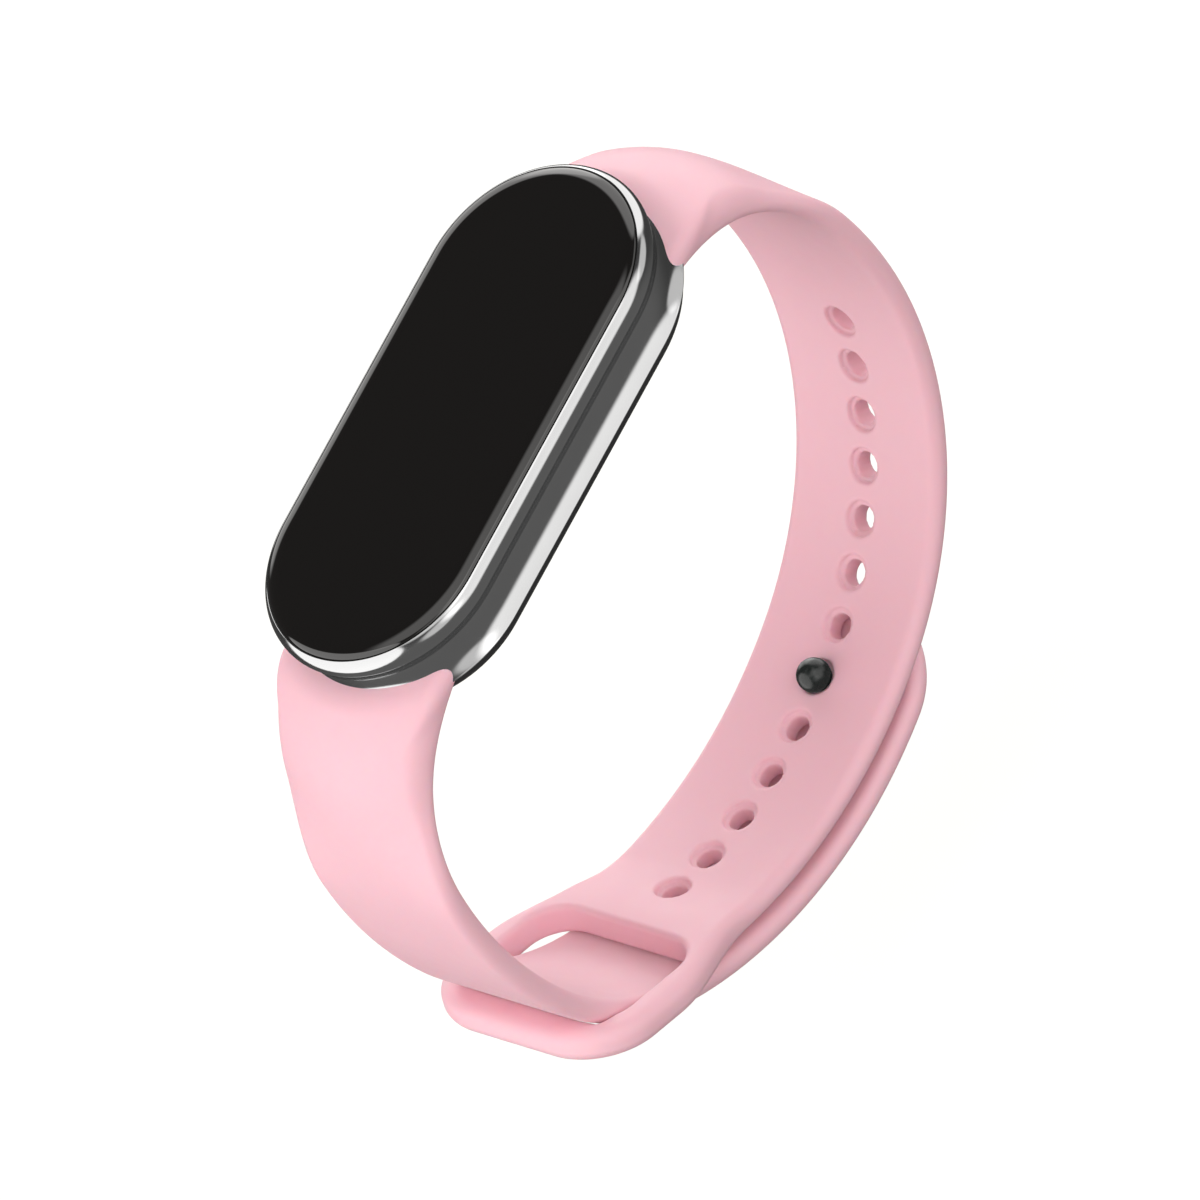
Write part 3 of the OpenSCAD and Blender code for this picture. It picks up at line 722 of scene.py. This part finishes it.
cap = [(CAP_R, SHANK_TOP + 0.02)] + cap_edge + [(1.2, CAP_TOP - 0.03), (0.0, CAP_TOP)]
peg = lathe("peg_stud", ball + shank + cap)
outward = Vector((0.0, math.sin(peg_heading), math.cos(peg_heading)))
along = Vector((0.0, -math.cos(peg_heading), math.sin(peg_heading)))
turn = Matrix((along.cross(outward), along, outward)).transposed().to_4x4()
turn.translation = on_peg_half(PEG_AT)
peg.matrix_world = turn
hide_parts("peg", "peg_cap")
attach(peg, "tail")


# ---- The bowed leaf springs over the release buttons ----

# They lie between a button's top and the roof of its housing. A real one flattens as the button is
# pressed; these keep their bow.
BUTTON_Y = 20.4
BUTTON_TOP_Z = -7.57
LEAF_HALF_L = 2.4
LEAF_HALF_W = 1.1
LEAF_T = 0.13
LEAF_BOW = 0.32
LEAF_STEPS = 24


def leaf_spring(name, side):
    """A bowed leaf of spring steel at one end of the tracker."""
    outline = []
    for u in np.linspace(-1, 1, LEAF_STEPS + 1):
        outline.append((LEAF_HALF_L * u, BUTTON_TOP_Z + LEAF_BOW * (1 - u * u)))
    for u in np.linspace(1, -1, LEAF_STEPS + 1):
        outline.append((LEAF_HALF_L * u, BUTTON_TOP_Z + LEAF_T + LEAF_BOW * (1 - u * u)))
    m = len(outline)
    points = [(x, BUTTON_Y * side - LEAF_HALF_W, z) for x, z in outline]
    points += [(x, BUTTON_Y * side + LEAF_HALF_W, z) for x, z in outline]
    faces = []
    for j in range(m):
        k = (j + 1) % m
        faces.append((j, k, m + k, m + j))
    for j in range(LEAF_STEPS):
        faces.append((j, m - 1 - j, m - 2 - j, j + 1))
        faces.append((m + j + 1, 2 * m - 2 - j, 2 * m - 1 - j, m + j))
    return mesh_object(name, points, faces, crease=40)


springs = []
for side, word in ((1, "upper"), (-1, "lower")):
    spring = leaf_spring("leaf_spring_" + word, side)
    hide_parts("button_spring_" + word)
    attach(spring, "tracker")
    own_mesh(spring)
    springs.append(spring)


# ---- Materials ----


def material(name):
    """A new node material, with its tree and shader."""
    mat = bpy.data.materials.new(name)
    mat.use_nodes = True
    tree = mat.node_tree
    shader = next(n for n in tree.nodes if n.type == "BSDF_PRINCIPLED")
    return mat, tree, shader


def noise(tree, scale, detail=3.0):
    """Noise that lies still in the object, with a scale in features per metre."""
    coords = tree.nodes.new("ShaderNodeTexCoord")
    n = tree.nodes.new("ShaderNodeTexNoise")
    n.inputs["Scale"].default_value = scale
    n.inputs["Detail"].default_value = detail
    n.inputs["Roughness"].default_value = 0.5
    tree.links.new(coords.outputs["Object"], n.inputs["Vector"])
    return n.outputs["Fac"]


def between(tree, fac, low, high):
    """A number that follows a noise between two values."""
    m = tree.nodes.new("ShaderNodeMapRange")
    m.inputs["From Min"].default_value = 0.3
    m.inputs["From Max"].default_value = 0.7
    m.inputs["To Min"].default_value = low
    m.inputs["To Max"].default_value = high
    tree.links.new(fac, m.inputs["Value"])
    return m.outputs["Result"]


def tinted(tree, fac, a, b):
    """A colour that follows a noise between two colours."""
    mix = tree.nodes.new("ShaderNodeMix")
    mix.data_type = "RGBA"
    mix.inputs["A"].default_value = (*a, 1.0)
    mix.inputs["B"].default_value = (*b, 1.0)
    tree.links.new(fac, mix.inputs["Factor"])
    return mix.outputs["Result"]


def bump(tree, shader, strength, scale, distance):
    """Fine relief on the shader's normal, with a distance in metres."""
    b = tree.nodes.new("ShaderNodeBump")
    b.inputs["Strength"].default_value = strength
    b.inputs["Distance"].default_value = distance
    tree.links.new(noise(tree, scale, 2.0), b.inputs["Height"])
    tree.links.new(b.outputs["Normal"], shader.inputs["Normal"])


def finish(name, colour, other, scale, rough, metallic=0.0, relief=None, **sockets):
    """A material whose colour and roughness wander a little.

    rough is a range, and relief is the strength, scale and distance of a bump. Further sockets
    of the shader are named with underscores for spaces."""
    mat, tree, shader = material(name)
    tree.links.new(tinted(tree, noise(tree, scale), colour, other), shader.inputs["Base Color"])
    tree.links.new(between(tree, noise(tree, scale * 4), *rough), shader.inputs["Roughness"])
    shader.inputs["Metallic"].default_value = metallic
    if relief is not None:
        bump(tree, shader, *relief)
    for key, value in sockets.items():
        shader.inputs[key.replace("_", " ")].default_value = value
    return mat


def dress(obj, mat):
    """Puts one material on a piece or a CAD node."""
    if obj.material_slots:
        for s in obj.material_slots:
            s.material = mat
    else:
        obj.data.materials.append(mat)


# A satin relief, and the finishes that more than one node takes.
SATIN = (0.1, 7000.0, 0.00003)
FLEX = ((0.42, 0.16, 0.03), (0.36, 0.13, 0.025), 700, (0.25, 0.35))
CONNECTOR = ((0.03, 0.03, 0.032), (0.04, 0.04, 0.042), 1200, (0.4, 0.5))
BUTTON = ((0.06, 0.06, 0.063), (0.075, 0.075, 0.078), 1200, (0.38, 0.48))

silicone = finish(
    "silicone", (0.90, 0.535, 0.607), (0.885, 0.52, 0.592), 160, (0.46, 0.56),
    relief=(0.06, 9000.0, 0.00003),
    Subsurface_Weight=0.25, Subsurface_Scale=0.0005, Specular_IOR_Level=0.4,
)
dress(buckle_mesh, silicone)
dress(peg_mesh, silicone)

black_glass = finish(
    "black_glass", (0.005, 0.0043, 0.004), (0.0056, 0.0048, 0.0044), 60, (0.02, 0.035), IOR=1.7
)
dress(glass, black_glass)

gasket = finish("black_gasket", (0.004, 0.004, 0.004), (0.006, 0.006, 0.006), 300, (0.5, 0.65))
dress(seam, gasket)

chrome = finish(
    "dark_chrome", (0.48, 0.485, 0.49), (0.52, 0.525, 0.53), 220, (0.09, 0.13), metallic=1.0
)
dress(metal, chrome)

peg_black = finish(
    "peg_black", (0.010, 0.014, 0.013), (0.014, 0.018, 0.017), 400, (0.22, 0.32),
    relief=(0.05, 6000.0, 0.00002),
)
dress(peg, peg_black)

# The CAD nodes that stay as they are.
node_finishes = {
    "display_panel": finish(
        "display_stack", (0.004, 0.004, 0.005), (0.006, 0.006, 0.008), 200, (0.1, 0.16)
    ),
    "display_flex": finish("flex_film", *FLEX),
    "inner_bracket": finish(
        "bracket_metal", (0.32, 0.33, 0.35), (0.27, 0.28, 0.3), 500, (0.32, 0.42), metallic=1.0
    ),
    "bracket_screws": finish(
        "screw_steel", (0.55, 0.55, 0.56), (0.5, 0.5, 0.51), 900, (0.22, 0.3), metallic=1.0
    ),
    "main_board": finish(
        "solder_mask", (0.012, 0.09, 0.035), (0.016, 0.11, 0.045), 1400, (0.35, 0.45)
    ),
    "board_chips": finish(
        "chip_resin", (0.015, 0.015, 0.017), (0.022, 0.022, 0.024), 2500, (0.5, 0.6)
    ),
    "chip_shield": finish(
        "tinned_steel", (0.6, 0.6, 0.6), (0.52, 0.52, 0.53), 900, (0.25, 0.38), metallic=1.0
    ),
    "antenna_strip": finish(
        "antenna_foil", (0.7, 0.48, 0.18), (0.62, 0.42, 0.15), 900, (0.25, 0.35), metallic=1.0
    ),
    "battery": finish(
        "pouch_foil", (0.58, 0.59, 0.6), (0.5, 0.51, 0.53), 600, (0.3, 0.42), metallic=1.0,
        relief=(0.3, 700.0, 0.0001),
    ),
    "battery_flex": finish("flex_tail", *FLEX),
    "vibration_motor": finish(
        "motor_steel", (0.58, 0.58, 0.59), (0.52, 0.52, 0.53), 900, (0.2, 0.3), metallic=1.0
    ),
    "sensor_board": finish(
        "sensor_mask", (0.008, 0.06, 0.028), (0.012, 0.075, 0.034), 1400, (0.35, 0.45)
    ),
    "sensor_leds": finish("led_lens", (0.2, 0.62, 0.24), (0.26, 0.7, 0.3), 1200, (0.12, 0.2)),
    "photodiodes": finish(
        "diode_lens", (0.02, 0.028, 0.045), (0.03, 0.04, 0.06), 1200, (0.1, 0.18)
    ),
    "light_barrier": finish(
        "barrier_black", (0.004, 0.004, 0.004), (0.007, 0.007, 0.007), 1500, (0.7, 0.85)
    ),
    "sensor_window": finish(
        "sensor_lens", (0.006, 0.006, 0.0065), (0.008, 0.008, 0.009), 200, (0.04, 0.07), IOR=1.5
    ),
    "rear_gasket": finish(
        "rear_seal", (0.02, 0.02, 0.021), (0.03, 0.03, 0.031), 900, (0.6, 0.75)
    ),
    "rear_cover": finish(
        "rear_plastic", (0.012, 0.012, 0.013), (0.016, 0.016, 0.017), 700, (0.42, 0.52),
        relief=(0.12, 7000.0, 0.00003),
    ),
    "charging_contacts": finish(
        "contact_metal", (0.72, 0.72, 0.73), (0.66, 0.66, 0.68), 1500, (0.12, 0.2), metallic=1.0
    ),
    "strap_connector_upper": finish("connector_upper", *CONNECTOR, relief=SATIN),
    "strap_connector_lower": finish("connector_lower", *CONNECTOR, relief=SATIN),
    "release_button_upper": finish("button_upper", *BUTTON, relief=SATIN),
    "release_button_lower": finish("button_lower", *BUTTON, relief=SATIN),
}
spring_steel = finish(
    "spring_steel", (0.55, 0.55, 0.56), (0.5, 0.5, 0.51), 1500, (0.25, 0.35), metallic=1.0
)
for spring in springs:
    dress(spring, spring_steel)
for node_name, mat in node_finishes.items():
    dress(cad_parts[node_name], mat)

# The metal mirrors the bright room, as in the photograph, and neither the strap halves nor what
# they hide.
buckle_mesh.visible_glossy = False
peg_mesh.visible_glossy = False
for word in ("upper", "lower"):
    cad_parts["strap_connector_" + word].visible_glossy = False
    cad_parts["release_button_" + word].visible_glossy = False


# ---- Camera: the photograph's direction, from far away ----

CAMERA_RIGHT = Vector((0.72408, 0.46809, -0.50655))
CAMERA_UP = Vector((-0.21514, 0.85108, 0.47893))
CAMERA_DISTANCE = 4.0
SENSOR_W = 36.0
VIEW_W = 96.36 * MM
AIM_RIGHT = 11.894 * MM
AIM_DOWN = 14.989 * MM

scene = bpy.context.scene
scene.view_settings.view_transform = "Standard"
back = CAMERA_RIGHT.cross(CAMERA_UP).normalized()
target = Vector((0.0, 0.0, SEAM * MM)) + CAMERA_RIGHT * AIM_RIGHT - CAMERA_UP * AIM_DOWN
cam_data = bpy.data.cameras.new("camera")
cam_data.sensor_width = SENSOR_W
cam_data.lens = SENSOR_W * CAMERA_DISTANCE / VIEW_W
cam_data.clip_start = 0.01
cam_data.clip_end = 50.0
camera = bpy.data.objects.new("camera", cam_data)
scene.collection.objects.link(camera)
camera.matrix_world = Matrix((CAMERA_RIGHT, CAMERA_UP, back)).transposed().to_4x4()
camera.matrix_world.translation = target + back * CAMERA_DISTANCE
scene.camera = camera


# ---- Floor ----

# Low enough for the strap's tail when it is lifted all the way, in metres.
FLOOR_DROP = 0.018
FLOOR_HALF = 6.0

z = cad_box[0].z - FLOOR_DROP
corners = []
for x, y in ((-1, -1), (1, -1), (1, 1), (-1, 1)):
    corners.append((x * FLOOR_HALF, y * FLOOR_HALF, z))
floor_mesh = bpy.data.meshes.new("floor")
floor_mesh.from_pydata(corners, [], [(0, 1, 2, 3)])
floor = bpy.data.objects.new("floor", floor_mesh)
scene.collection.objects.link(floor)
paper, tree, shader = material("pale_floor")
paper_colour = tinted(tree, noise(tree, 3), (0.30, 0.30, 0.295), (0.305, 0.305, 0.30))
tree.links.new(paper_colour, shader.inputs["Base Color"])
shader.inputs["Roughness"].default_value = 0.9
shader.inputs["Specular IOR Level"].default_value = 0.0
shader.inputs["Emission Color"].default_value = (1.0, 1.0, 0.965, 1.0)
shader.inputs["Emission Strength"].default_value = 0.77
floor.data.materials.append(paper)
# It takes the object's soft shadow but throws no light back: the world's own lower half stands for
# what a floor would reflect.
floor.visible_diffuse = False
floor.visible_glossy = False
floor.visible_shadow = False


# ---- Light: a dim room with large soft panels round the object ----

AMBIENT = 0.08

# Each panel: direction from the object, half width and softness of its edge in degrees, brightness.
PANELS = [
    ((0.90, 0.18, 0.46), 24, 14, 1.4),
    ((0.86, -0.42, 0.34), 14, 10, 0.8),
    ((0.55, 0.80, 0.14), 15, 6, 0.9),
    ((0.20, -0.10, 0.97), 26, 12, 1.1),
    ((-0.34, -0.91, 0.26), 43, 3, 1.75),
    ((-0.36, 0.88, 0.22), 33, 6, 1.6),
    ((-0.86, 0.50, 0.08), 24, 5, 1.5),
    ((0.50, -0.40, -0.60), 50, 40, 0.1),
]
world = bpy.data.worlds.new("studio")
scene.world = world
world.use_nodes = True
tree = world.node_tree
background = next(n for n in tree.nodes if n.type == "BACKGROUND")
output = next(n for n in tree.nodes if n.type == "OUTPUT_WORLD")
coords = tree.nodes.new("ShaderNodeTexCoord")


def panel(direction, half, soft, strength):
    """The brightness that one panel adds, over directions."""
    dot = tree.nodes.new("ShaderNodeVectorMath")
    dot.operation = "DOT_PRODUCT"
    tree.links.new(coords.outputs["Generated"], dot.inputs[0])
    dot.inputs[1].default_value = Vector(direction).normalized()
    ramp = tree.nodes.new("ShaderNodeMapRange")
    ramp.interpolation_type = "SMOOTHSTEP"
    ramp.inputs["From Min"].default_value = math.cos(math.radians(half + soft))
    ramp.inputs["From Max"].default_value = math.cos(math.radians(half))
    ramp.inputs["To Min"].default_value = 0.0
    ramp.inputs["To Max"].default_value = strength
    tree.links.new(dot.outputs["Value"], ramp.inputs["Value"])
    return ramp.outputs["Result"]


total = None
for values in PANELS:
    add = tree.nodes.new("ShaderNodeMath")
    add.operation = "ADD"
    tree.links.new(panel(*values), add.inputs[0])
    if total is None:
        add.inputs[1].default_value = AMBIENT
    else:
        tree.links.new(total, add.inputs[1])
    total = add.outputs["Value"]
tree.links.new(total, background.inputs["Strength"])
background.inputs["Color"].default_value = (1.0, 0.985, 0.97, 1.0)

# Seen directly, behind the far edge of the floor, the room is as pale as the floor.
seen = tree.nodes.new("ShaderNodeBackground")
seen.inputs["Color"].default_value = (1.0, 1.0, 1.0, 1.0)
path = tree.nodes.new("ShaderNodeLightPath")
choice = tree.nodes.new("ShaderNodeMixShader")
tree.links.new(path.outputs["Is Camera Ray"], choice.inputs["Fac"])
tree.links.new(background.outputs["Background"], choice.inputs[1])
tree.links.new(seen.outputs["Background"], choice.inputs[2])
tree.links.new(choice.outputs["Shader"], output.inputs["Surface"])
